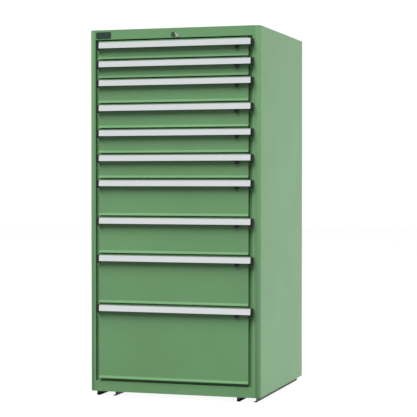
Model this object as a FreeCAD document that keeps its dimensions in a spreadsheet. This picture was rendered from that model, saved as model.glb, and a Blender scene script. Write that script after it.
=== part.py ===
import FreeCAD, Part
import os
import re
import Sketcher
from FreeCAD import Placement, Rotation, Vector

# An industrial drawer cabinet: a folded steel body on two base channels, ten drawers on
# telescopic runners, a full-width aluminium handle and a sliding catch on each drawer, and one
# cylinder lock that lifts a locking bar. X runs to the right, Y to the rear, Z up from the floor.
# The origin is on the floor, under the middle of the whole outline.

# Height of each drawer's zone, from the top drawer down.
ZONES = {
    "zone_01": 75,
    "zone_02": 75,
    "zone_03": 100,
    "zone_04": 100,
    "zone_05": 100,
    "zone_06": 100,
    "zone_07": 150,
    "zone_08": 150,
    "zone_09": 200,
    "zone_10": 300,
}
COUNT = len(ZONES)
NUMBERS = [f"{number:02d}" for number in range(1, COUNT + 1)]

DRIVING = {
    # body shell
    "body_width": 710,
    "body_depth": 690,
    "base_height": 20,
    "top_zone": 50,
    "bottom_zone": 50,
    "wall": 1.5,
    "corner_radius": 19,
    "stile_left": 25.5,
    "stile_right": 31.5,
    "sill_depth": 30,
    # stop that the drawer fronts close against, behind their edges
    "stop_gap": 0.5,
    "stop_side_gap": 1,
    "sill_stop_gap": 2,
    "header_height": 39,
    "sill_height": 42,
    "rear_flange": 20,
    "floor_sheet": 2,
    "header_lip": 6,
    # openings in the stile's return for the drawer catches
    "catch_slot_gap": 0.8,
    "catch_slot_depth": 12,
    "catch_slot_top": 3,
    # drawer fronts
    "front_gap": 15,
    "front_proud": 2,
    "front_sheet": 1.5,
    "front_depth": 16,
    "front_hem": 16,
    "front_clearance": 8,
    "front_top_rise": 5,
    "bottom_skirt": 4,
    "lip_rise": 10,
    "lip_nose": 2,
    "lip_reach": 6,
    # drawer trays
    "tray_back_room": 57,
    "tray_sheet": 1.2,
    "tray_bottom_gap": 10,
    "tray_top_gap": 14,
    # handles
    "handle_reach": 20,
    "handle_slope": 3,
    "handle_face": 24.5,
    "handle_wall": 2.5,
    "handle_plate": 15,
    "handle_rounding": 6,
    "cap_width": 8,
    "cap_drop": 8,
    "cap_taper": 4,
    "handle_left_over": 1.5,
    "handle_right_over": 21,
    "screw_radius": 2,
    "screw_head_radius": 3.5,
    "screw_head_height": 2,
    "screw_length": 8,
    "screw_drop": 9,
    "screw_spacing": 150,
    # drawer catches
    "catch_inset": 46.5,
    "catch_top_width": 25,
    "catch_tip_width": 9,
    "catch_tab_top": 16,
    "catch_tab_bottom": 38,
    "catch_tab_thick": 8,
    "catch_tab_gap": 1.5,
    "catch_drop": 20,
    "catch_bar": 6,
    "catch_setback": 3,
    "catch_travel": 18,
    "catch_clearance": 0.6,
    # telescopic runners
    "runner_front": 50,
    "runner_back": 40,
    "runner_rise": 25,
    "rail_height": 30,
    "rail_web": 1.5,
    "rail_flange": 1.7,
    "rail_lip": 10.2,
    "drawer_rail_height": 26,
    "drawer_rail_sheet": 1.5,
    "drawer_rail_width": 8,
    "drawer_rail_setback": 26.5,
    "carriage_gap": 0.7,
    "carriage_sheet": 1.8,
    "carriage_height": 20,
    "carriage_setback": 17,
    "roller_gap": 0.3,
    "roller_side_gap": 0.6,
    "roller_end": 20,
    "roller_spacing": 210,
    "axle_radius": 4,
    # mounting columns
    "column_width": 40,
    "column_depth": 34.6,
    "column_wall": 2,
    "slot_pitch": 25,
    "slot_height": 6,
    "slot_width": 14,
    "slot_start": 20,
    # central lock
    "lock_drop": 25,
    "bezel_radius": 9.5,
    "bezel_proud": 2.5,
    "barrel_radius": 8,
    "barrel_length": 18,
    "plug_radius": 5.5,
    "plug_clearance": 0.05,
    "key_slot_length": 7,
    "key_slot_width": 1.4,
    "key_slot_depth": 6,
    "lock_nut_across": 11,
    "lock_nut_height": 5,
    "cam_thick": 3,
    "cam_half_width": 5,
    "cam_reach": 12,
    "cam_pin_radius": 2.5,
    "cover_radius": 5.8,
    "cover_thick": 1.2,
    "cover_gap": 0.3,
    "cover_side": 17,
    "cover_down": 6,
    "cover_pin_side": 10.3,
    "cover_pin_up": 2.2,
    "cover_pin_radius": 1.5,
    "cover_ear_radius": 3.5,
    # locking slide and locking bar
    "lock_travel": 12,
    "slide_front": 31.5,
    "slide_thick": 3,
    "slide_strip": 15,
    "slide_rim": 6,
    "slide_gap": 0.3,
    # greatest share of the cam's reach by which its pin runs ahead of the slide
    "arc_share": 0.22,
    "bar_gap": 3,
    "bar_width": 6,
    "bar_depth": 8,
    "bar_pin_radius": 3,
    "bar_pin_rise": 9,
    "hook_gap": 4,
    "hook_height": 6,
    "hook_side_gap": 3,
    "tab_clearance": 2,
    "tab_height": 10,
    "tab_reach": 8,
    "tab_thick": 2.5,
    "tab_gap": 1,
    "keeper_rise": 14,
    "keeper_height": 12,
    "keeper_sheet": 1.5,
    # how far cutters run past a face
    "overrun": 1,
    # base channels
    "channel_inset": 20,
    "channel_width": 81,
    "channel_wall": 2,
    "channel_lip": 12,
    "channel_setback": 25,
    "channel_rear_setback": 8,
    "bolt_radius": 5,
    "bolt_hole_gap": 0.5,
    "bolt_head_across": 9,
    "bolt_head_height": 6,
    "bolt_end": 1.5,
    "bolt_inset": 70,
    # blank badge plate
    "badge_width": 64,
    "badge_height": 26,
    "badge_thick": 1.5,
    "badge_inset": 28,
    "badge_drop": 21.5,
    "badge_rounding": 6,
}

# Places that follow from the driving dimensions.
DERIVED = {
    "half_width": "body_width / 2",
    "inner_half": "half_width - wall",
    "opening_left": "half_width - stile_left",
    "opening_right": "half_width - stile_right",
    "front_left": "opening_left - front_gap",
    "front_right": "opening_right - front_gap",
    "y_front": "front_proud + handle_reach - (body_depth + front_proud + handle_reach) / 2",
    "y_back": "y_front + body_depth",
    "y_panel": "y_front - front_proud",
    "y_panel_back": "y_panel + front_depth",
    "y_lip": "y_panel - lip_reach",
    "y_handle": "y_panel - handle_reach",
    "zones_height": " + ".join(ZONES),
    "body_top": "base_height + bottom_zone + zones_height + top_zone",
    "lid_bottom": "body_top - wall",
    "header_bottom": "body_top - header_height",
    "sill_top": "base_height + sill_height",
    "floor_top": "base_height + floor_sheet",
    "y_tray_front": "y_panel_back",
    "y_tray_back": "y_back - 2 * wall - tray_back_room",
    "y_runner": "y_front + runner_front",
    "y_runner_end": "y_back - runner_back",
    "column_x": "inner_half - column_depth",
    "rail_out": "column_x",
    "rail_in": "rail_out - rail_web - rail_lip",
    "carriage_out": "rail_in - carriage_gap",
    "carriage_x": "carriage_out - carriage_sheet",
    "drawer_rail_x": "carriage_x - carriage_gap",
    "tray_half": "drawer_rail_x - drawer_rail_width",
    "y_stop": "y_panel_back + stop_gap",
    "stop_half": "carriage_out + stop_side_gap",
    "inner_roller": "drawer_rail_height / 2 - drawer_rail_sheet - roller_gap",
    "outer_roller": "rail_height / 2 - rail_flange - roller_gap",
    "y_carriage": "y_runner + carriage_setback",
    "y_carriage_end": "y_runner_end - carriage_setback",
    "lock_z": "body_top - lock_drop",
    "y_cam": "y_front + barrel_length",
    "y_slide": "y_front + slide_front",
    "y_slide_back": "y_slide + slide_thick",
    "y_bar": "y_runner - column_wall - slide_gap - bar_depth",
    "slide_bottom": "header_bottom + wall + slide_gap",
    "pin_z": "slide_bottom + bar_pin_rise",
    "bar_left": "rail_out + bar_gap",
    "bar_x": "bar_left + bar_width / 2",
    "bar_right": "bar_left + bar_width",
    "hook_rise": "runner_rise + drawer_rail_height / 2 + hook_gap",
    "tab_rise": "hook_rise + hook_height + tab_clearance",
    "badge_left": "badge_inset - half_width",
    "y_catch": "y_front + catch_setback",
    "y_catch_back": "y_catch + catch_bar",
    "y_plate": "y_panel - handle_wall",
    "catch_x": "front_right - catch_inset",
    "handle_left": "-(front_left + handle_left_over)",
    "handle_right": "front_right + handle_right_over",
    "grip_left": "handle_left + cap_width",
    "grip_right": "handle_right - cap_width",
    "channel_out": "half_width - channel_inset",
    "channel_in": "channel_out - channel_width",
}

doc = FreeCAD.newDocument("tool_cabinet")
sizes = doc.addObject("Spreadsheet::Sheet", "Sizes")
ALIASES = set()


def write_sheet():
    """Fill the sheet with the driving dimensions and what follows from them."""
    rows = {**ZONES, **DRIVING, **DERIVED}
    bottom = "base_height + bottom_zone"
    for number in reversed(NUMBERS):
        rows[f"bottom_{number}"] = bottom
        rows[f"top_{number}"] = f"bottom_{number} + zone_{number}"
        bottom = f"top_{number}"
    for row, (alias, content) in enumerate(rows.items(), 1):
        sizes.set(f"A{row}", alias)
        sizes.set(f"B{row}", f"={content}" if isinstance(content, str) else str(content))
        sizes.setAlias(f"B{row}", alias)
        ALIASES.add(alias)
    doc.recompute()


def size(alias):
    """The sheet's present value of a named size."""
    return float(sizes.get(alias))


def bind(item, path, formula):
    """Tie a property to a formula of the sheet's named sizes."""
    text = re.sub(r"[a-z]\w*", lambda word: f"Sizes.{word[0]}" if word[0] in ALIASES else word[0], formula)
    item.setExpression(path, text)


def box(name, x, y, z):
    """A block that runs between two formulas on each axis."""
    block = doc.addObject("Part::Box", name)
    for length, place, (low, high) in (("Length", "x", x), ("Width", "y", y), ("Height", "z", z)):
        bind(block, length, f"({high}) - ({low})")
        bind(block, f"Placement.Base.{place}", low)
    return block


TURNS = {"x": Rotation(Vector(0, 1, 0), 90), "y": Rotation(Vector(1, 0, 0), -90), "z": Rotation()}


def rod(name, axis, radius, across, low, high):
    """A round bar along an axis, between two formulas; across gives its centre on the other two."""
    round_bar = doc.addObject("Part::Cylinder", name)
    round_bar.Placement = Placement(Vector(), TURNS[axis])
    bind(round_bar, "Radius", radius)
    bind(round_bar, "Height", f"({high}) - ({low})")
    places = dict(zip([letter for letter in "xyz" if letter != axis], across))
    places[axis] = low
    for letter, formula in places.items():
        bind(round_bar, f"Placement.Base.{letter}", formula)
    return round_bar


def hexagon(name, axis, half_across, across, low, high):
    """A six-sided bar, as a nut or a bolt's head."""
    prism = doc.addObject("Part::Prism", name)
    prism.Polygon = 6
    prism.Placement = Placement(Vector(), TURNS[axis])
    bind(prism, "Circumradius", half_across)
    bind(prism, "Height", f"({high}) - ({low})")
    places = dict(zip([letter for letter in "xyz" if letter != axis], across))
    places[axis] = low
    for letter, formula in places.items():
        bind(prism, f"Placement.Base.{letter}", formula)
    return prism


def fuse(name, shapes):
    """One welded or folded piece made of touching shapes."""
    joined = doc.addObject("Part::MultiFuse", name)
    joined.Shapes = shapes
    joined.Refine = True
    return joined


def cut(name, base, tools):
    """A piece with openings cut in it."""
    tool = tools[0]
    if len(tools) > 1:
        tool = group(f"{name}_cutters", tools)
    opened = doc.addObject("Part::Cut", name)
    opened.Base = base
    opened.Tool = tool
    return opened


def group(name, shapes):
    """Separate solids that share one node."""
    together = doc.addObject("Part::Compound", name)
    together.Links = shapes
    return together


def mirrored(name, source):
    """The left-hand twin of a right-hand piece."""
    twin = doc.addObject("Part::Mirroring", name)
    twin.Source = source
    twin.Normal = Vector(1, 0, 0)
    return twin


def both_sides(name, source):
    """A right-hand piece and its left-hand twin in one node."""
    return group(name, [source, mirrored(f"{name}_twin", source)])


def origin_feature(body, role):
    """One of a body's own origin planes or axes."""
    return next(item for item in body.Origin.OriginFeatures if item.Role == role)


def profile(body, role, loops, height):
    """A sketch of closed outlines, each corner placed by two formulas."""
    sketch = body.newObject("Sketcher::SketchObject", f"{body.Name}_profile")
    sketch.AttachmentSupport = (origin_feature(body, role), [""])
    sketch.MapMode = "FlatFace"
    bind(sketch, "AttachmentOffset.Base.z", height)
    for corners in loops:
        first = sketch.GeometryCount
        count = len(corners)
        for index in range(count):
            start = Vector(index, index ** 2, 0)
            end = Vector(index + 1, (index + 1) ** 2, 0)
            sketch.addGeometry(Part.LineSegment(start, end), False)
        for index in range(count):
            following = first + (index + 1) % count
            sketch.addConstraint(Sketcher.Constraint("Coincident", first + index, 2, following, 1))
        for index, corner in enumerate(corners):
            for kind, formula in zip(("DistanceX", "DistanceY"), corner):
                place = sketch.addConstraint(Sketcher.Constraint(kind, -1, 1, first + index, 1, 1.0))
                bind(sketch, f"Constraints[{place}]", formula)
    return sketch


def padded(name, role, corners, low, high):
    """A body padded from a closed outline between two formulas along its plane's normal."""
    body = doc.addObject("PartDesign::Body", name)
    # The XZ plane's normal points to -Y, so there the outline starts at the far end.
    start = f"-({high})" if role == "XZ_Plane" else low
    pad = body.newObject("PartDesign::Pad", f"{name}_pad")
    pad.Profile = profile(body, role, [corners], start)
    bind(pad, "Length", f"({high}) - ({low})")
    return body


def straight_edges(shape, direction, spots):
    """Names of the straight edges along a direction that pass through the given spots."""
    names = []
    for number, edge in enumerate(shape.Edges, 1):
        if edge.Curve.TypeId != "Part::GeomLine":
            continue
        if edge.tangentAt(edge.FirstParameter).cross(direction).Length > 1e-6:
            continue
        start = edge.valueAt(edge.FirstParameter)
        if any((spot - start).cross(direction).Length < 1e-4 for spot in spots):
            names.append(f"Edge{number}")
    return names


def rounded(body, direction, spots, radius):
    """Round the body's edges that run along a direction through the given spots."""
    doc.recompute()
    base = body.Tip
    fillet = body.newObject("PartDesign::Fillet", f"{body.Name}_rounding")
    fillet.Base = (base, straight_edges(base.Shape, direction, spots))
    bind(fillet, "Radius", radius)
    doc.recompute()
    return fillet


def pocketed(body, role, loops, height, depth, backwards=False):
    """Cut closed outlines into the body to a depth."""
    before = body.Shape.Volume
    pocket = body.newObject("PartDesign::Pocket", f"{body.Name}_pocket")
    pocket.Profile = profile(body, role, loops, height)
    pocket.Reversed = backwards
    bind(pocket, "Length", depth)
    doc.recompute()
    if body.Shape.Volume >= before:
        raise ValueError(f"{body.Name}: a pocket cuts nothing")
    return pocket


NODES = {}


def node(name, item):
    """Name an object as one of the cabinet's nodes."""
    item.Label = name
    NODES[name] = item


ALONG_X = Vector(1, 0, 0)
ALONG_Z = Vector(0, 0, 1)


def rectangle(x, y):
    """The four corners of a rectangle from its two formulas on each axis."""
    return [(x[0], y[0]), (x[1], y[0]), (x[1], y[1]), (x[0], y[1])]


def side_panel(name, opening):
    """A right-hand side sheet: outer wall, rounded corner, stile, drawer stop and a rear flange."""
    corners = [
        ("stop_half", "y_stop"),
        (opening, "y_stop"),
        (opening, "y_front"),
        ("half_width", "y_front"),
        ("half_width", "y_back"),
        ("half_width - rear_flange", "y_back"),
        ("half_width - rear_flange", "y_back - wall"),
        ("inner_half", "y_back - wall"),
        ("inner_half", "y_front + wall"),
        (f"{opening} + wall", "y_front + wall"),
        (f"{opening} + wall", "y_stop + wall"),
        ("stop_half", "y_stop + wall"),
    ]
    panel = padded(name, "XY_Plane", corners, "base_height", "lid_bottom")
    outer = [Vector(size("half_width"), size("y_front"), 0)]
    rounded(panel, ALONG_Z, outer, "corner_radius")
    inner = [Vector(size("inner_half"), size("y_front") + size("wall"), 0)]
    rounded(panel, ALONG_Z, inner, "corner_radius - wall")
    # The stop runs only between the sill and the header.
    beside = ("stop_half - overrun", opening)
    notches = [rectangle(beside, ("base_height - overrun", "sill_top")),
               rectangle(beside, ("header_bottom", "lid_bottom + overrun"))]
    pocketed(panel, "XZ_Plane", notches, "-(y_stop - overrun)", "wall + 2 * overrun")
    return panel


def side_panels():
    """The two side sheets; the drawer catches enter slots in the right one's stile."""
    right = side_panel("side_right", "opening_right")
    across = ("y_catch - catch_slot_gap", "y_catch - catch_slot_gap + catch_slot_depth")
    slots = [rectangle(across, (f"top_{number} - catch_drop - catch_bar / 2 - catch_slot_gap",
                                f"top_{number} - catch_slot_top")) for number in NUMBERS]
    pocketed(right, "YZ_Plane", slots, "opening_right - overrun", "wall + 2 * overrun", backwards=True)
    node("side_panel_right", right)
    node("side_panel_left", mirrored("side_left", side_panel("side_left_source", "opening_left")))


def top_panel():
    """The flat lid over the whole footprint."""
    outline = rectangle(("-half_width", "half_width"), ("y_front", "y_back"))
    lid = padded("lid", "XY_Plane", outline, "lid_bottom", "body_top")
    spots = [Vector(side * size("half_width"), size("y_front"), 0) for side in (-1, 1)]
    rounded(lid, ALONG_Z, spots, "corner_radius")
    node("top_panel", lid)


def flat_panels():
    """Back panel inside the rear flanges, and floor panel on the base channels."""
    inside = ("-inner_half", "inner_half")
    back = box("back", inside, ("y_back - 2 * wall", "y_back - wall"), ("floor_top", "lid_bottom"))
    node("back_panel", back)
    sheet = box("floor_sheet_box", inside, ("y_front + sill_depth", "y_back - wall"),
                ("base_height", "floor_top"))
    holes = [bolt_hole(f"floor_hole_{index}", place, "base_height - overrun", "floor_top + overrun")
             for index, place in enumerate(bolt_places())]
    node("floor_panel", cut("floor", sheet, holes))


def front_rails():
    """Header with a flange that carries the locking slide, and sill with a stop for the last front."""
    span = ("-opening_left", "opening_right")
    header = fuse("header_fold", [
        box("header_face", span, ("y_front", "y_front + wall"), ("header_bottom", "lid_bottom")),
        box("header_flange", span, ("y_front", "y_slide_back + slide_gap + wall"),
            ("header_bottom", "header_bottom + wall")),
        box("header_lip_box", span, ("y_slide_back + slide_gap", "y_slide_back + slide_gap + wall"),
            ("header_bottom", "header_bottom + header_lip")),
    ])
    hole = rod("lock_hole", "y", "barrel_radius", ("0", "lock_z"), "y_front - overrun",
               "y_front + wall + overrun")
    node("header_rail", cut("header", header, [hole]))
    sill = fuse("sill", [
        box("sill_face", span, ("y_front", "y_front + wall"), ("base_height", "sill_top")),
        box("sill_top_flange", span, ("y_front", "y_front + sill_depth"),
            ("sill_top - wall", "sill_top")),
        box("sill_bottom_flange", span, ("y_front", "y_front + sill_depth"),
            ("base_height", "base_height + wall")),
        box("sill_stop", ("-stop_half", "stop_half"), ("y_stop", "y_stop + wall"),
            ("sill_top - wall", f"bottom_{NUMBERS[-1]} + tray_bottom_gap - sill_stop_gap")),
    ])
    node("sill_rail", sill)


def column(name, low):
    """A U-shaped post with a row of slots at the mounting pitch."""
    corners = [
        ("column_x", low),
        ("inner_half", low),
        ("inner_half", f"{low} + column_wall"),
        ("column_x + column_wall", f"{low} + column_wall"),
        ("column_x + column_wall", f"{low} + column_width - column_wall"),
        ("inner_half", f"{low} + column_width - column_wall"),
        ("inner_half", f"{low} + column_width"),
        ("column_x", f"{low} + column_width"),
    ]
    post = padded(name, "XY_Plane", corners, "floor_top", "lid_bottom")
    doc.recompute()
    middle = f"{low} + column_width / 2"
    slot = rectangle((f"{middle} - slot_width / 2", f"{middle} + slot_width / 2"),
                     ("floor_top + slot_start", "floor_top + slot_start + slot_height"))
    pocket = pocketed(post, "YZ_Plane", [slot], "column_x - overrun", "column_wall + 2 * overrun",
                      backwards=True)
    row = post.newObject("PartDesign::LinearPattern", f"{name}_row")
    row.Originals = [pocket]
    row.Direction = (origin_feature(post, "Z_Axis"), [""])
    row.Mode = "Spacing"
    bind(row, "Offset", "slot_pitch")
    bind(row, "Occurrences", "floor((lid_bottom - floor_top - 2 * slot_start) / slot_pitch) + 1")
    post.Tip = row
    return post


def mounting_columns():
    """Front and rear posts on each side; the right front one also keeps the locking bar."""
    front = column("column_front", "y_runner - column_wall")
    rear = column("column_rear", "y_runner_end - column_width")
    keepers = [keeper(number) for number in ("01", "06", "10")]
    kept = fuse("column_front_kept", [front] + keepers)
    node("mounting_columns_right", group("columns_right", [kept, rear]))
    twins = [mirrored(f"{post.Name}_twin", post) for post in (front, rear)]
    node("mounting_columns_left", group("columns_left", twins))


def keeper(number):
    """A strap on the front post that the locking bar slides in, beside one drawer's runner."""
    name = f"keeper_{number}"
    low = f"bottom_{number} + keeper_rise"
    height = (low, f"{low} + keeper_height")
    out = ("bar_right + slide_gap", "bar_right + slide_gap + keeper_sheet")
    inner = ("bar_left - slide_gap - keeper_sheet", "bar_left - slide_gap")
    depth = ("y_bar - slide_gap - keeper_sheet", "y_runner - column_wall")
    return fuse(name, [
        box(f"{name}_outer", out, depth, height),
        box(f"{name}_inner", inner, depth, height),
        box(f"{name}_bridge", (inner[0], out[1]), (depth[0], "y_bar - slide_gap"), height),
    ])


def cabinet_runner(number):
    """The fixed C-shaped rail of one drawer, on the right."""
    middle = f"bottom_{number} + runner_rise"
    length = ("y_runner", "y_runner_end")
    low = f"{middle} - rail_height / 2"
    high = f"{middle} + rail_height / 2"
    return fuse(f"rail_{number}", [
        box(f"rail_web_{number}", ("rail_out - rail_web", "rail_out"), length, (low, high)),
        box(f"rail_top_{number}", ("rail_in", "rail_out"), length, (f"{high} - rail_flange", high)),
        box(f"rail_bottom_{number}", ("rail_in", "rail_out"), length, (low, f"{low} + rail_flange")),
    ])


def runner_rails():
    """Ten fixed rails on each side."""
    right = group("rails_right", [cabinet_runner(number) for number in NUMBERS])
    node("runner_rails_right", right)
    node("runner_rails_left", mirrored("rails_left", right))


def roller(name, place, middle, radius, low, high):
    """A roller on its axle, which leaves a running clearance."""
    wheel = rod(f"{name}_wheel", "x", radius, (place, middle), low, high)
    bore = rod(f"{name}_bore", "x", "axle_radius + plug_clearance", (place, middle),
               f"{low} - overrun", f"{high} + overrun")
    return cut(name, wheel, [bore])


def carriage(number):
    """The middle member of one drawer's runners: two bars, each with four rollers."""
    middle = f"bottom_{number} + runner_rise"
    bar = box(f"carriage_bar_{number}", ("carriage_x", "carriage_out"),
              ("y_carriage", "y_carriage_end"),
              (f"{middle} - carriage_height / 2", f"{middle} + carriage_height / 2"))
    welded = [bar]
    rollers = []
    inner = ("tray_half + drawer_rail_sheet + roller_side_gap", "carriage_x - roller_side_gap")
    outer = ("carriage_out + roller_side_gap", "rail_out - rail_web - roller_side_gap")
    front = "y_carriage + roller_end"
    rear = "y_carriage_end - roller_end"
    stations = [("front_a", front, inner, "inner_roller", (inner[0], "carriage_x")),
                ("front_b", f"{front} + roller_spacing", inner, "inner_roller", (inner[0], "carriage_x")),
                ("rear_a", rear, outer, "outer_roller", ("carriage_out", outer[1])),
                ("rear_b", f"{rear} - roller_spacing", outer, "outer_roller", ("carriage_out", outer[1]))]
    for label, place, span, radius, axle in stations:
        welded.append(rod(f"axle_{label}_{number}", "x", "axle_radius", (place, middle), *axle))
        rollers.append(roller(f"roller_{label}_{number}", place, middle, radius, *span))
    right = group(f"carriage_right_{number}", [fuse(f"carriage_fold_{number}", welded)] + rollers)
    node(f"drawer_{number}_carriage", both_sides(f"carriage_{number}", right))


def drawer_front(number):
    """The folded front sheet: face, sloped lower lip, flanges all round, and hems at the back."""
    top = f"top_{number} + front_top_rise"
    low = f"bottom_{number} + front_clearance"
    if number == NUMBERS[-1]:
        low = f"({low} - bottom_skirt)"
    nose = f"{low} + lip_nose"
    slope_top = f"{low} + lip_rise"
    corners = [
        ("y_panel_back", top),
        ("y_panel", top),
        ("y_panel", slope_top),
        ("y_lip", nose),
        ("y_lip", low),
        ("y_panel_back", low),
        ("y_panel_back", f"{low} + front_hem"),
        ("y_panel_back - front_sheet", f"{low} + front_hem"),
        ("y_panel_back - front_sheet", f"{low} + front_sheet"),
        ("y_lip + front_sheet", f"{low} + front_sheet"),
        ("y_lip + front_sheet", nose),
        ("y_panel + front_sheet", slope_top),
        ("y_panel + front_sheet", f"{top} - front_sheet"),
        ("y_panel_back - front_sheet", f"{top} - front_sheet"),
        ("y_panel_back - front_sheet", f"{top} - front_hem"),
        ("y_panel_back", f"{top} - front_hem"),
    ]
    face = padded(f"front_face_{number}", "YZ_Plane", corners, "-front_left", "front_right")
    flanges = [box(f"front_flange_{name}_{number}", x, ("y_panel", "y_panel_back"), (low, top))
               for name, x in (("left", ("-front_left", "-front_left + front_sheet")),
                               ("right", ("front_right - front_sheet", "front_right")))]
    folded = fuse(f"front_folded_{number}", [face] + flanges)
    half = "(catch_bar / 2 + catch_clearance)"
    bar_z = f"top_{number} - catch_drop"
    height = (f"{bar_z} - {half}", f"{bar_z} + {half}")
    through = ("y_panel - overrun", "y_panel + front_sheet + overrun")
    openings = [
        box(f"stem_slot_{number}", (f"catch_x - {half}", f"catch_x + {half} + catch_travel"), through,
            height),
        box(f"nose_window_{number}", ("front_right - front_sheet - overrun", "front_right + overrun"),
            ("y_catch - catch_clearance", "y_catch_back + catch_clearance"), height),
    ]
    for index, x in enumerate(SCREW_PLACES):
        openings.append(rod(f"front_hole_{index}_{number}", "y", "screw_radius + plug_clearance",
                            (x, f"top_{number} - screw_drop"), *through))
    return cut(f"front_{number}", folded, openings)


def drawer_tray(number):
    """The open tray behind the front: a floor and four walls, welded along their edges."""
    low = f"bottom_{number} + tray_bottom_gap"
    walls = (f"{low} + tray_sheet", f"top_{number} - tray_top_gap")
    outer = ("-tray_half", "tray_half")
    inner = ("-tray_half + tray_sheet", "tray_half - tray_sheet")
    length = ("y_tray_front", "y_tray_back")
    return [
        box(f"tray_floor_{number}", outer, length, (low, walls[0])),
        box(f"tray_left_{number}", (outer[0], inner[0]), length, walls),
        box(f"tray_right_{number}", (inner[1], outer[1]), length, walls),
        box(f"tray_front_{number}", inner, (length[0], f"{length[0]} + tray_sheet"), walls),
        box(f"tray_rear_{number}", inner, (f"{length[1]} - tray_sheet", length[1]), walls),
    ]


def drawer_rail(number):
    """The C-shaped rail on the tray's right side."""
    middle = f"bottom_{number} + runner_rise"
    length = ("y_tray_front + drawer_rail_setback", "y_tray_back - wall")
    rail_low = f"{middle} - drawer_rail_height / 2"
    rail_high = f"{middle} + drawer_rail_height / 2"
    sides = ("tray_half", "drawer_rail_x")
    return fuse(f"drawer_rail_{number}", [
        box(f"drawer_web_{number}", ("tray_half", "tray_half + drawer_rail_sheet"), length,
            (rail_low, rail_high)),
        box(f"drawer_top_{number}", sides, length, (f"{rail_high} - drawer_rail_sheet", rail_high)),
        box(f"drawer_bottom_{number}", sides, length, (rail_low, f"{rail_low} + drawer_rail_sheet")),
    ])


SCREW_PLACES = [f"{step} * screw_spacing" for step in (-1.5, -0.5, 0.5, 1.5)]


def drawer_box(number):
    """One drawer's welded sheets: front, tray, two rails and the tab that the lock stops."""
    rail = drawer_rail(number)
    tab = box(f"lock_tab_{number}", ("tray_half", "tray_half + tab_reach"),
              ("y_bar + bar_depth + tab_gap", "y_bar + bar_depth + tab_gap + tab_thick"),
              (f"bottom_{number} + tab_rise", f"bottom_{number} + tab_rise + tab_height"))
    rails = [rail, mirrored(f"drawer_rail_left_{number}", rail)]
    sheets = [drawer_front(number)] + drawer_tray(number)
    node(f"drawer_{number}_box", group(f"drawer_{number}", sheets + rails + [tab]))


def handle_outline(number):
    """Section of the handle: top, sloped face and the plate on the drawer front."""
    top = f"top_{number}"
    face_low = f"{top} - handle_face"
    return [
        ("y_panel", top),
        ("y_handle + handle_slope", top),
        ("y_handle", face_low),
        ("y_handle + handle_wall", face_low),
        ("y_handle + handle_slope + handle_wall", f"{top} - handle_wall"),
        ("y_plate", f"{top} - handle_wall"),
        ("y_plate", f"{top} - handle_plate"),
        ("y_panel", f"{top} - handle_plate"),
    ]


def handle(number):
    """The aluminium grip, its end caps, which reach past the front's edges, and its four screws."""
    top = f"top_{number}"
    grip = padded(f"grip_{number}", "YZ_Plane", handle_outline(number), "grip_left", "grip_right")
    edge = Vector(0, size("y_handle") + size("handle_slope"), size(top))
    rounded(grip, ALONG_X, [edge], "handle_rounding")
    screw_z = f"{top} - screw_drop"
    holes = []
    screws = []
    for index, x in enumerate(SCREW_PLACES):
        holes.append(rod(f"grip_hole_{index}_{number}", "y", "screw_radius + plug_clearance",
                         (x, screw_z), "y_plate - overrun", "y_panel + overrun"))
        screws.append(fuse(f"screw_{index}_{number}", [
            rod(f"screw_head_{index}_{number}", "y", "screw_head_radius", (x, screw_z),
                "y_plate - screw_head_height", "y_plate"),
            rod(f"screw_shank_{index}_{number}", "y", "screw_radius", (x, screw_z), "y_plate",
                "y_plate + screw_length"),
        ]))
    cap_low = f"{top} - handle_face - cap_drop"
    closed = handle_outline(number)[:3] + [("y_handle + cap_taper", cap_low), ("y_panel", cap_low)]
    caps = []
    ends = (("left", "handle_left", "grip_left"), ("right", "grip_right", "handle_right"))
    for side, low, high in ends:
        cap = padded(f"cap_{side}_{number}", "YZ_Plane", closed, low, high)
        rounded(cap, ALONG_X, [edge], "handle_rounding")
        caps.append(cap)
    drilled = cut(f"grip_drilled_{number}", grip, holes)
    node(f"drawer_{number}_handle", group(f"handle_{number}", [drilled] + caps + screws))


def catch(number):
    """The black thumb catch: tapered tab, stem and a bar whose nose enters the stile."""
    top = f"top_{number}"
    tab_back = "y_plate - catch_tab_gap"
    corners = [
        ("catch_x - catch_top_width / 2", f"{top} - catch_tab_top"),
        ("catch_x - catch_tip_width / 2", f"{top} - catch_tab_bottom"),
        ("catch_x + catch_tip_width / 2", f"{top} - catch_tab_bottom"),
        ("catch_x + catch_top_width / 2", f"{top} - catch_tab_top"),
    ]
    tab = padded(f"catch_tab_{number}", "XZ_Plane", corners, f"{tab_back} - catch_tab_thick", tab_back)
    bar_z = f"{top} - catch_drop"
    height = (f"{bar_z} - catch_bar / 2", f"{bar_z} + catch_bar / 2")
    stem = box(f"catch_stem_{number}", ("catch_x - catch_bar / 2", "catch_x + catch_bar / 2"),
               (f"{tab_back} - catch_tab_thick / 2", "y_catch_back"), height)
    bar = box(f"catch_bar_{number}", ("catch_x - catch_bar", "front_right - catch_clearance"),
              ("y_catch", "y_catch_back"), height)
    node(f"drawer_{number}_catch", fuse(f"catch_{number}", [tab, stem, bar]))


def bolt_places():
    """Where the base bolts go: three along each channel."""
    middle = "(channel_in + channel_out) / 2"
    rows = ("y_front + channel_setback + bolt_inset", "(y_front + y_back) / 2",
            "y_back - channel_rear_setback - bolt_inset")
    return [(f"{side}{middle}", row) for side in ("-", "") for row in rows]


def bolt_hole(name, place, low, high):
    """Clearance hole for a base bolt."""
    return rod(name, "z", "bolt_radius + bolt_hole_gap", place, low, high)


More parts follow.
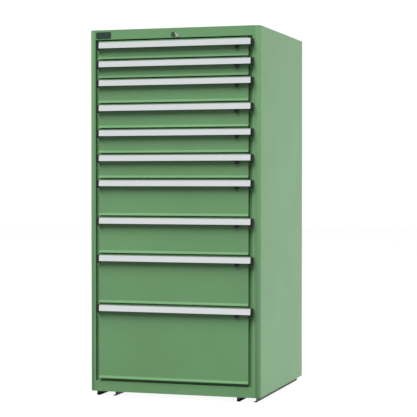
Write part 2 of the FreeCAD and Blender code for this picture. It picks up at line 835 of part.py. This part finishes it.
def base_channels():
    """Two channels that the cabinet stands on, open below between inward lips."""
    outline = [
        ("channel_in", "0"),
        ("channel_in + channel_lip", "0"),
        ("channel_in + channel_lip", "channel_wall"),
        ("channel_in + channel_wall", "channel_wall"),
        ("channel_in + channel_wall", "base_height - channel_wall"),
        ("channel_out - channel_wall", "base_height - channel_wall"),
        ("channel_out - channel_wall", "channel_wall"),
        ("channel_out - channel_lip", "channel_wall"),
        ("channel_out - channel_lip", "0"),
        ("channel_out", "0"),
        ("channel_out", "base_height"),
        ("channel_in", "base_height"),
    ]
    length = ("y_front + channel_setback", "y_back - channel_rear_setback")
    channel = padded("channel", "XZ_Plane", outline, *length)
    holes = [bolt_hole(f"channel_hole_{index}", place, "channel_wall", "base_height + overrun")
             for index, place in enumerate(bolt_places()[3:])]
    right = cut("channel_drilled", channel, holes)
    node("base_channel_right", right)
    node("base_channel_left", mirrored("channel_left", right))


def base_bolts():
    """Six bolts from below through channel and floor, each with a nut inside the cabinet."""
    pieces = []
    seat = "base_height - channel_wall"
    for index, place in enumerate(bolt_places()):
        pieces.append(fuse(f"bolt_{index}", [
            hexagon(f"bolt_head_{index}", "z", "bolt_head_across", place,
                    f"{seat} - bolt_head_height", seat),
            rod(f"bolt_shank_{index}", "z", "bolt_radius", place, seat,
                "floor_top + bolt_head_height + bolt_end"),
        ]))
        nut = hexagon(f"nut_block_{index}", "z", "bolt_head_across", place, "floor_top",
                      "floor_top + bolt_head_height")
        bore = rod(f"nut_bore_{index}", "z", "bolt_radius + plug_clearance", place,
                   "floor_top - overrun", "floor_top + bolt_head_height + overrun")
        pieces.append(cut(f"nut_{index}", nut, [bore]))
    node("base_bolts", group("bolts", pieces))


def lock_cylinder():
    """Housing with bezel, ear and fixing nut, and the plug that turns in it."""
    centre = ("0", "lock_z")
    pin = ("cover_pin_side", "lock_z + cover_pin_up")
    face = "y_front - bezel_proud"
    housing = fuse("housing_solid", [
        rod("bezel", "y", "bezel_radius", centre, face, "y_front"),
        rod("bezel_ear", "y", "cover_ear_radius", pin, face, "y_front"),
        rod("barrel", "y", "barrel_radius", centre, "y_front", "y_cam"),
        hexagon("lock_nut", "y", "lock_nut_across", centre, "y_front + wall",
                "y_front + wall + lock_nut_height"),
    ])
    bore = rod("plug_bore", "y", "plug_radius + plug_clearance", centre, f"{face} - overrun",
               "y_cam + overrun")
    node("lock_housing", cut("housing", housing, [bore]))
    arm_top = "lock_z + cam_reach + cam_half_width"
    plug = fuse("plug_solid", [
        rod("plug_barrel", "y", "plug_radius", centre, face, "y_cam + roller_gap"),
        box("cam_arm", ("-cam_half_width", "cam_half_width"), ("y_cam + roller_gap", "y_cam + cam_thick"),
            ("lock_z - plug_radius", arm_top)),
        rod("cam_pin", "y", "cam_pin_radius", ("0", "lock_z + cam_reach"), "y_cam + cam_thick",
            "y_slide_back + slide_gap"),
    ])
    key_slot = box("key_slot", ("-key_slot_width / 2", "key_slot_width / 2"),
                   (f"{face} - overrun", f"{face} + key_slot_depth"),
                   ("lock_z - key_slot_length / 2", "lock_z + key_slot_length / 2"))
    node("lock_plug", cut("plug", plug, [key_slot]))


def lock_cover():
    """The small cover that swings over the keyhole, shown swung aside."""
    back = "y_front - bezel_proud - cover_gap"
    front = f"{back} - cover_thick"
    pin = ("cover_pin_side", "lock_z + cover_pin_up")
    neck = ("(cover_side + cover_pin_side) / 2", "lock_z + (cover_pin_up - cover_down) / 2")
    cover = fuse("cover", [
        rod("cover_disc", "y", "cover_radius", ("cover_side", "lock_z - cover_down"), front, back),
        rod("cover_neck", "y", "cover_ear_radius", neck, front, back),
        rod("cover_ear", "y", "cover_ear_radius", pin, front, back),
        rod("cover_rivet", "y", "cover_pin_radius", pin, f"{front} - cover_gap", back),
    ])
    node("lock_cover", cover)


def locking_slide():
    """The strip behind the header that the plug's pin pushes sideways."""
    play = "(cam_pin_radius + slide_gap)"
    # The pin moves on an arc and the slide in a line, so the slot is wider than the pin.
    swing = f"({play} + arc_share * cam_reach)"
    thick = ("y_slide", "y_slide_back")
    through = ("y_slide - overrun", "y_slide_back + overrun")
    lock_end = f"({swing} + slide_rim)"
    reach = "((bar_pin_radius + slide_gap) * sqrt(2))"
    bar_end = f"bar_x + {reach} + slide_rim"
    strip = fuse("slide_solid", [
        box("slide_lock_end", (f"-{lock_end}", lock_end), thick,
            ("slide_bottom", f"lock_z + cam_reach + {play} + slide_gap")),
        box("slide_strip_box", (f"-{lock_end}", bar_end), thick,
            ("slide_bottom", "slide_bottom + slide_strip")),
        box("slide_bar_end", (f"bar_x - lock_travel - {reach} - slide_rim", bar_end), thick,
            ("slide_bottom", f"pin_z + lock_travel + {reach} + slide_gap")),
    ])
    pin_slot = box("cam_slot", (f"-{swing}", swing), through,
                   (f"lock_z - {play}", f"lock_z + cam_reach + {play} + overrun"))
    wedge_corners = [
        (f"bar_x + {reach}", "pin_z"),
        ("bar_x", f"pin_z - {reach}"),
        (f"bar_x - lock_travel - {reach}", "pin_z + lock_travel"),
        ("bar_x - lock_travel", f"pin_z + lock_travel + {reach}"),
    ]
    wedge = padded("wedge_slot", "XZ_Plane", wedge_corners, *through)
    node("lock_slide", cut("slide", strip, [pin_slot, wedge]))


def locking_bar():
    """The upright bar with one hook for each drawer and a pin in the slide's wedge slot."""
    depth = ("y_bar", "y_bar + bar_depth")
    pieces = [
        box("bar_strip", ("bar_left", "bar_right"), depth, ("sill_top", "pin_z + 2 * bar_pin_radius")),
        rod("bar_pin", "y", "bar_pin_radius", ("bar_x", "pin_z"), "y_slide - slide_gap", "y_bar"),
    ]
    for number in NUMBERS:
        low = f"bottom_{number} + hook_rise"
        pieces.append(box(f"hook_{number}", ("tray_half + hook_side_gap", "bar_left"), depth,
                          (low, f"{low} + hook_height")))
    node("lock_bar", group("bar", pieces))


def badge_plate():
    """A blank plate at the top left of the header."""
    centre = "body_top - badge_drop"
    outline = rectangle(("badge_left", "badge_left + badge_width"),
                        (f"{centre} - badge_height / 2", f"{centre} + badge_height / 2"))
    plate = padded("badge", "XZ_Plane", outline, "y_front - badge_thick", "y_front")
    middle = size("body_top") - size("badge_drop")
    left = size("badge_left")
    spots = [Vector(x, 0, middle + side * size("badge_height") / 2)
             for x in (left, left + size("badge_width")) for side in (-1, 1)]
    rounded(plate, Vector(0, 1, 0), spots, "badge_rounding")
    node("badge_plate", plate)


def build():
    """Make every piece of the cabinet."""
    write_sheet()
    side_panels()
    top_panel()
    flat_panels()
    front_rails()
    mounting_columns()
    runner_rails()
    base_channels()
    base_bolts()
    lock_cylinder()
    lock_cover()
    locking_slide()
    locking_bar()
    badge_plate()
    for number in NUMBERS:
        drawer_box(number)
        handle(number)
        catch(number)
        carriage(number)
    doc.recompute()


def check():
    """Stop with the names of failed objects or unsound shapes."""
    failed = [item.Name for item in doc.Objects if {"Invalid", "Error"} & set(item.State)]
    unsound = [name for name, item in NODES.items() if item.Shape.isNull() or not item.Shape.isValid()]
    if failed or unsound:
        raise RuntimeError(f"failed: {failed} unsound: {unsound}")


def export():
    """Write each node's solids to a STEP file."""
    os.makedirs("parts", exist_ok=True)
    for name, item in NODES.items():
        item.Shape.exportStep(f"parts/{name}.step")
        print(name, len(item.Shape.Solids), "solids", round(item.Shape.Volume / 1000, 1), "cm3")


build()
check()
export()
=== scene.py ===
import math

import bpy
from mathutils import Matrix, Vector

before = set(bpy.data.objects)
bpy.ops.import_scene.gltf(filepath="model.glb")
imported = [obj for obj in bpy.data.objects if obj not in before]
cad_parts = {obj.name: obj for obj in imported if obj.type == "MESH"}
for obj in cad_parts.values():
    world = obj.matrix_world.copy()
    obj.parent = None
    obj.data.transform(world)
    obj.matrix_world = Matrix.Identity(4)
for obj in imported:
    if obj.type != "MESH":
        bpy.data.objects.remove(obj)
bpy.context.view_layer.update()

MM = 0.001
DRAWERS = [f"{number:02d}" for number in range(1, 11)]
BODY_NODES = ["side_panel_left", "side_panel_right", "top_panel", "back_panel", "floor_panel",
              "header_rail", "sill_rail"]
BASE_NODES = ["base_channel_left", "base_channel_right"]
ZINC_NODES = ["mounting_columns_left", "mounting_columns_right", "runner_rails_left",
              "runner_rails_right", "base_bolts", "lock_slide", "lock_bar"]

# Camera, worked out from the photograph's perspective.
FOCAL_PIXELS = 1428.7
IMAGE_PIXELS = 417
SENSOR = 36.0
CAMERA_PLACE = (1.8169, -5.6834, 0.8654)
CAMERA_YAW = 17.353
CAMERA_PITCH = -1.098
NEAREST = 0.1
FARTHEST = 100.0

# Where the handles' end caps meet the grip.
CAP_LEFT = -308.0 * MM
CAP_RIGHT = 321.5 * MM

# Colours, as linear red, green and blue.
BODY_GREEN = (0.130, 0.273, 0.126)
LOCK_GREEN = (0.034, 0.076, 0.034)
BASE_GREEN = (0.012, 0.020, 0.012)
BADGE_GREEN = (0.024, 0.044, 0.030)
ALUMINIUM = (0.705, 0.729, 0.738)
ZINC = (0.50, 0.52, 0.55)
NICKEL = (0.46, 0.50, 0.46)
BLACK = (0.012, 0.013, 0.014)

# Refractive indices, low on the dark finishes so that they stay dark in the white studio.
METAL_IOR = 1.5
PAINT_IOR = 1.36
BASE_IOR = 1.3
PLASTIC_IOR = 1.28

# Most of a noise texture's values lie between these two.
NOISE_LOW = 0.3
NOISE_HIGH = 0.7
# An edge counts in full where its rounded and true normals' dot product falls to this.
EDGE_DOT = 0.9
EDGE_SAMPLES = 4
# Socket numbers of the Mix node when it mixes colours.
MIX_FACTOR, MIX_FIRST, MIX_SECOND, MIX_RESULT = 0, 6, 7, 2

# Points of a CAD mesh nearer than this become one, and edges sharper than this are softened.
WELD_REACH = 0.001 * MM
SHARP = math.radians(35)

# The white studio: how bright it is to the eye, and the lesser light that it and the floor give.
WHITE = 1.05
SKY = 0.14
FLOOR_ALBEDO = 0.13
FLOOR_SIZE = 40.0
# Share of the floor's white that comes from the lamps, and so shows the shadow.
SHADOW_SHARE = 0.10

# Points that the lamps face.
MIDDLE = (0.0, 0.0, 0.8)
LOW_MIDDLE = (0.0, 0.0, 0.6)


def node_tree(name):
    """A new material with its nodes cleared; returns the material, its nodes and a linker."""
    material = bpy.data.materials.new(name)
    material.use_nodes = True
    nodes = material.node_tree.nodes
    nodes.clear()
    return material, nodes, material.node_tree.links.new


def principled(nodes, link, metallic, ior):
    """The surface shader with its output."""
    output = nodes.new("ShaderNodeOutputMaterial")
    shader = nodes.new("ShaderNodeBsdfPrincipled")
    shader.inputs["Metallic"].default_value = metallic
    shader.inputs["IOR"].default_value = ior
    link(shader.outputs["BSDF"], output.inputs["Surface"])
    return shader


def noise(nodes, link, scale, detail, stretch=(1, 1, 1)):
    """Noise in object space, with features about 1/scale metres across."""
    place = nodes.new("ShaderNodeTexCoord")
    mapping = nodes.new("ShaderNodeMapping")
    mapping.inputs["Scale"].default_value = stretch
    texture = nodes.new("ShaderNodeTexNoise")
    texture.inputs["Scale"].default_value = scale
    texture.inputs["Detail"].default_value = detail
    link(place.outputs["Object"], mapping.inputs["Vector"])
    link(mapping.outputs["Vector"], texture.inputs["Vector"])
    return texture.outputs["Fac"]


def spread(nodes, link, source, low=0.0, high=1.0):
    """Noise turned into a number between low and high."""
    ramp = nodes.new("ShaderNodeMapRange")
    ramp.inputs["From Min"].default_value = NOISE_LOW
    ramp.inputs["From Max"].default_value = NOISE_HIGH
    ramp.inputs["To Min"].default_value = low
    ramp.inputs["To Max"].default_value = high
    link(source, ramp.inputs["Value"])
    return ramp.outputs["Result"]


def uneven_gloss(nodes, link, shader, source, middle, swing):
    """Roughness that follows noise, within swing of a middle value."""
    link(spread(nodes, link, source, middle - swing, middle + swing), shader.inputs["Roughness"])


def tint(colour, factor, lift=0.0):
    """A colour times a factor, with the same lift added to its red, green and blue."""
    return tuple(value * factor + lift for value in colour)


def blended(nodes, link, factor, first, second):
    """A colour between two colours; each is three numbers or a socket."""
    mix = nodes.new("ShaderNodeMix")
    mix.data_type = "RGBA"
    for number, value in ((MIX_FIRST, first), (MIX_SECOND, second)):
        if isinstance(value, tuple):
            mix.inputs[number].default_value = (*value, 1)
        else:
            link(value, mix.inputs[number])
    link(factor, mix.inputs[MIX_FACTOR])
    return mix.outputs[MIX_RESULT]


def bump(nodes, link, shader, height, strength, depth):
    """Relief from a height, at most depth metres deep."""
    relief = nodes.new("ShaderNodeBump")
    relief.inputs["Strength"].default_value = strength
    relief.inputs["Distance"].default_value = depth
    link(height, relief.inputs["Height"])
    link(relief.outputs["Normal"], shader.inputs["Normal"])


def edge_mask(nodes, link, radius):
    """1 near sharp edges and 0 on flats, from how far a rounded normal leaves the true one."""
    rounded = nodes.new("ShaderNodeBevel")
    rounded.samples = EDGE_SAMPLES
    rounded.inputs["Radius"].default_value = radius
    geometry = nodes.new("ShaderNodeNewGeometry")
    dot = nodes.new("ShaderNodeVectorMath")
    dot.operation = "DOT_PRODUCT"
    link(rounded.outputs["Normal"], dot.inputs[0])
    link(geometry.outputs["Normal"], dot.inputs[1])
    ramp = nodes.new("ShaderNodeMapRange")
    ramp.inputs["From Min"].default_value = 1.0
    ramp.inputs["From Max"].default_value = EDGE_DOT
    link(dot.outputs["Value"], ramp.inputs["Value"])
    return ramp.outputs["Result"]


def powder_coat(name, colour, roughness, ior):
    """Fine-textured powder coat: orange peel, slight unevenness in colour and sheen."""
    material, nodes, link = node_tree(name)
    shader = principled(nodes, link, metallic=0.0, ior=ior)
    broad = spread(nodes, link, noise(nodes, link, scale=3.0, detail=3.0))
    paint = blended(nodes, link, broad, tint(colour, 0.95), tint(colour, 1.05))
    link(paint, shader.inputs["Base Color"])
    peel = noise(nodes, link, scale=700.0, detail=3.0)
    uneven_gloss(nodes, link, shader, peel, roughness, swing=0.05)
    bump(nodes, link, shader, peel, strength=0.35, depth=0.12 * MM)
    return material


def anodised_grip(name, metal, cap_black_and_end_shade, roughness):
    """Satin anodised extrusion with drawn lines along X, and black moulded caps past both ends,
    whose black is partly painted shade for the gap and the handle's shadow at each end.
    """
    material, nodes, link = node_tree(name)
    shader = principled(nodes, link, metallic=1.0, ior=PLASTIC_IOR)
    place = nodes.new("ShaderNodeTexCoord")
    split = nodes.new("ShaderNodeSeparateXYZ")
    link(place.outputs["Object"], split.inputs["Vector"])
    # 1 within half the grip's length of its middle, and 0 on the caps.
    is_grip = nodes.new("ShaderNodeMath")
    is_grip.operation = "COMPARE"
    is_grip.inputs[1].default_value = (CAP_LEFT + CAP_RIGHT) / 2
    is_grip.inputs[2].default_value = (CAP_RIGHT - CAP_LEFT) / 2
    link(split.outputs["X"], is_grip.inputs[0])
    lines = noise(nodes, link, scale=60.0, detail=4.0, stretch=(0.5, 60, 60))
    grain = blended(nodes, link, spread(nodes, link, lines), tint(metal, 0.94), metal)
    # The caps' own black, and also painted shade: it darkens each handle end where the gap and
    # the handle's shadow lie.
    colour = blended(nodes, link, is_grip.outputs["Value"], cap_black_and_end_shade, grain)
    link(colour, shader.inputs["Base Color"])
    link(is_grip.outputs["Value"], shader.inputs["Metallic"])
    uneven_gloss(nodes, link, shader, lines, roughness, swing=0.04)
    bump(nodes, link, shader, lines, strength=0.25, depth=0.05 * MM)
    return material


def moulded_plastic(name, colour, roughness):
    """Spark-eroded moulded plastic, with a painted highlight that makes it a little paler along
    its edges.
    """
    material, nodes, link = node_tree(name)
    shader = principled(nodes, link, metallic=0.0, ior=PLASTIC_IOR)
    # Painted highlight: the colour is paler along the edges.
    painted_edge_highlight = edge_mask(nodes, link, radius=0.6 * MM)
    shade = blended(nodes, link, painted_edge_highlight, colour, tint(colour, 1.25, lift=0.004))
    link(shade, shader.inputs["Base Color"])
    grain = noise(nodes, link, scale=1800.0, detail=2.0)
    uneven_gloss(nodes, link, shader, grain, roughness, swing=0.06)
    bump(nodes, link, shader, grain, strength=0.5, depth=0.08 * MM)
    return material


def zinc_plate(name, colour, roughness):
    """Zinc-plated steel with drawn streaks and cloudy spangle."""
    material, nodes, link = node_tree(name)
    shader = principled(nodes, link, metallic=1.0, ior=METAL_IOR)
    cloud = spread(nodes, link, noise(nodes, link, scale=25.0, detail=4.0))
    plate = blended(nodes, link, cloud, tint(colour, 0.82), colour)
    link(plate, shader.inputs["Base Color"])
    streak = noise(nodes, link, scale=90.0, detail=3.0, stretch=(30, 1, 30))
    uneven_gloss(nodes, link, shader, streak, roughness, swing=0.08)
    bump(nodes, link, shader, streak, strength=0.2, depth=0.05 * MM)
    return material


def turned_metal(name, colour, roughness):
    """Turned and plated lock parts, with a painted highlight that makes them brighter along their
    edges.
    """
    material, nodes, link = node_tree(name)
    shader = principled(nodes, link, metallic=1.0, ior=METAL_IOR)
    fine = noise(nodes, link, scale=1200.0, detail=3.0)
    base = blended(nodes, link, spread(nodes, link, fine), tint(colour, 0.7), colour)
    # Painted highlight: the colour is brighter along the edges.
    painted_edge_highlight = edge_mask(nodes, link, radius=0.8 * MM)
    plate = blended(nodes, link, painted_edge_highlight, base, tint(colour, 1.5, lift=0.05))
    link(plate, shader.inputs["Base Color"])
    uneven_gloss(nodes, link, shader, fine, roughness, swing=0.05)
    bump(nodes, link, shader, fine, strength=0.2, depth=0.03 * MM)
    return material


def dress(names, material, edge=0.5 * MM, segments=2):
    """Give CAD nodes a material and soft edges."""
    for name in names:
        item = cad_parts[name]
        item.data.materials.clear()
        item.data.materials.append(material)
        weld = item.modifiers.new("weld", "WELD")
        weld.merge_threshold = WELD_REACH
        bevel = item.modifiers.new("edges", "BEVEL")
        bevel.width = edge
        bevel.segments = segments
        bevel.limit_method = "ANGLE"
        bevel.angle_limit = SHARP
        bevel.harden_normals = True
        bevel.use_clamp_overlap = True


def of_each_drawer(piece):
    """The names of one piece's nodes on all drawers."""
    return [f"drawer_{number}_{piece}" for number in DRAWERS]


def dress_cabinet():
    """Every CAD node gets its finish."""
    green = powder_coat("green_powder_coat", BODY_GREEN, roughness=0.42, ior=PAINT_IOR)
    grip = anodised_grip("anodised_grip", ALUMINIUM, BLACK, roughness=0.54)
    black = moulded_plastic("black_plastic", BLACK, roughness=0.5)
    zinc = zinc_plate("zinc_plate", ZINC, roughness=0.36)
    nickel = turned_metal("satin_nickel", NICKEL, roughness=0.38)
    dark = powder_coat("lock_enamel", LOCK_GREEN, roughness=0.40, ior=PAINT_IOR)
    base = powder_coat("base_enamel", BASE_GREEN, roughness=0.50, ior=BASE_IOR)
    badge = moulded_plastic("badge_plastic", BADGE_GREEN, roughness=0.40)
    dress(BODY_NODES, green)
    dress(BASE_NODES, base)
    dress(of_each_drawer("box"), green)
    dress(of_each_drawer("handle"), grip)
    dress(of_each_drawer("catch"), black, edge=0.8 * MM, segments=3)
    dress(of_each_drawer("carriage"), zinc, edge=0.2 * MM, segments=1)
    dress(ZINC_NODES, zinc, edge=0.2 * MM, segments=1)
    dress(["lock_housing", "lock_plug"], dark, edge=0.4 * MM, segments=3)
    dress(["lock_cover"], nickel, edge=0.3 * MM, segments=3)
    dress(["badge_plate"], badge, edge=0.4 * MM, segments=3)


def make_camera():
    """The photograph's viewpoint and angle of view."""
    data = bpy.data.cameras.new("camera")
    data.sensor_width = SENSOR
    data.lens = FOCAL_PIXELS / IMAGE_PIXELS * SENSOR
    data.clip_start = NEAREST
    data.clip_end = FARTHEST
    camera = bpy.data.objects.new("camera", data)
    camera.location = CAMERA_PLACE
    camera.rotation_euler = (math.radians(90 + CAMERA_PITCH), 0, math.radians(CAMERA_YAW))
    bpy.context.scene.collection.objects.link(camera)
    bpy.context.scene.camera = camera


def seen_directly(nodes, link):
    """1 for rays from the camera, a reflection or a clear part, and 0 for light's own bounces."""
    path = nodes.new("ShaderNodeLightPath")
    first = nodes.new("ShaderNodeMath")
    first.operation = "MAXIMUM"
    link(path.outputs["Is Camera Ray"], first.inputs[0])
    link(path.outputs["Is Glossy Ray"], first.inputs[1])
    second = nodes.new("ShaderNodeMath")
    second.operation = "MAXIMUM"
    link(first.outputs["Value"], second.inputs[0])
    link(path.outputs["Is Transmission Ray"], second.inputs[1])
    return second.outputs["Value"]


def make_world():
    """White as seen, and softer as a source of light."""
    world = bpy.data.worlds.new("studio")
    bpy.context.scene.world = world
    world.use_nodes = True
    nodes = world.node_tree.nodes
    link = world.node_tree.links.new
    nodes.clear()
    output = nodes.new("ShaderNodeOutputWorld")
    back = nodes.new("ShaderNodeBackground")
    strength = nodes.new("ShaderNodeMapRange")
    strength.inputs["To Min"].default_value = SKY
    strength.inputs["To Max"].default_value = WHITE
    link(seen_directly(nodes, link), strength.inputs["Value"])
    link(strength.outputs["Result"], back.inputs["Strength"])
    back.inputs["Color"].default_value = (1, 1, 1, 1)
    link(back.outputs["Background"], output.inputs["Surface"])


def grey_diffuse(nodes, share):
    """A matt surface that gives back a share of the light."""
    surface = nodes.new("ShaderNodeBsdfDiffuse")
    surface.inputs["Color"].default_value = (share, share, share, 1)
    return surface.outputs["BSDF"]


def make_floor():
    """A plain white floor that keeps a soft shadow."""
    mesh = bpy.data.meshes.new("floor")
    half = FLOOR_SIZE / 2
    corners = [(-half, -half, 0), (half, -half, 0), (half, half, 0), (-half, half, 0)]
    mesh.from_pydata(corners, [], [(0, 1, 2, 3)])
    floor = bpy.data.objects.new("floor", mesh)
    bpy.context.scene.collection.objects.link(floor)
    material, nodes, link = node_tree("floor_white")
    output = nodes.new("ShaderNodeOutputMaterial")
    white = nodes.new("ShaderNodeEmission")
    white.inputs["Strength"].default_value = WHITE - SHADOW_SHARE
    seen = nodes.new("ShaderNodeAddShader")
    link(grey_diffuse(nodes, SHADOW_SHARE), seen.inputs[0])
    link(white.outputs["Emission"], seen.inputs[1])
    mix = nodes.new("ShaderNodeMixShader")
    link(seen_directly(nodes, link), mix.inputs["Fac"])
    link(grey_diffuse(nodes, FLOOR_ALBEDO), mix.inputs[1])
    link(seen.outputs["Shader"], mix.inputs[2])
    link(mix.outputs["Shader"], output.inputs["Surface"])
    mesh.materials.append(material)


def softbox(name, place, target, width, height, watts):
    """A rectangular lamp that faces a point and doesn't show in reflections."""
    data = bpy.data.lights.new(name, "AREA")
    data.shape = "RECTANGLE"
    data.size = width
    data.size_y = height
    data.energy = watts
    lamp = bpy.data.objects.new(name, data)
    lamp.location = place
    facing = Vector(target) - Vector(place)
    lamp.rotation_euler = facing.to_track_quat("-Z", "Y").to_euler()
    lamp.visible_glossy = False
    bpy.context.scene.collection.objects.link(lamp)


def make_lights():
    """A large key high in front, a soft one behind and a low fill on the right."""
    softbox("key", (-3.0, -9.9, 15.5), MIDDLE, width=13.8, height=12.8, watts=5700)
    softbox("back", (-2.0, 6.5, 5.5), MIDDLE, width=4.0, height=3.0, watts=420)
    softbox("fill", (4.3, 0.4, 0.5), LOW_MIDDLE, width=2.6, height=0.9, watts=155)


def main():
    """Dress the cabinet, set up the camera, world and floor, and light it."""
    dress_cabinet()
    make_camera()
    make_world()
    make_floor()
    make_lights()
    bpy.context.scene.view_settings.view_transform = "Standard"


main()
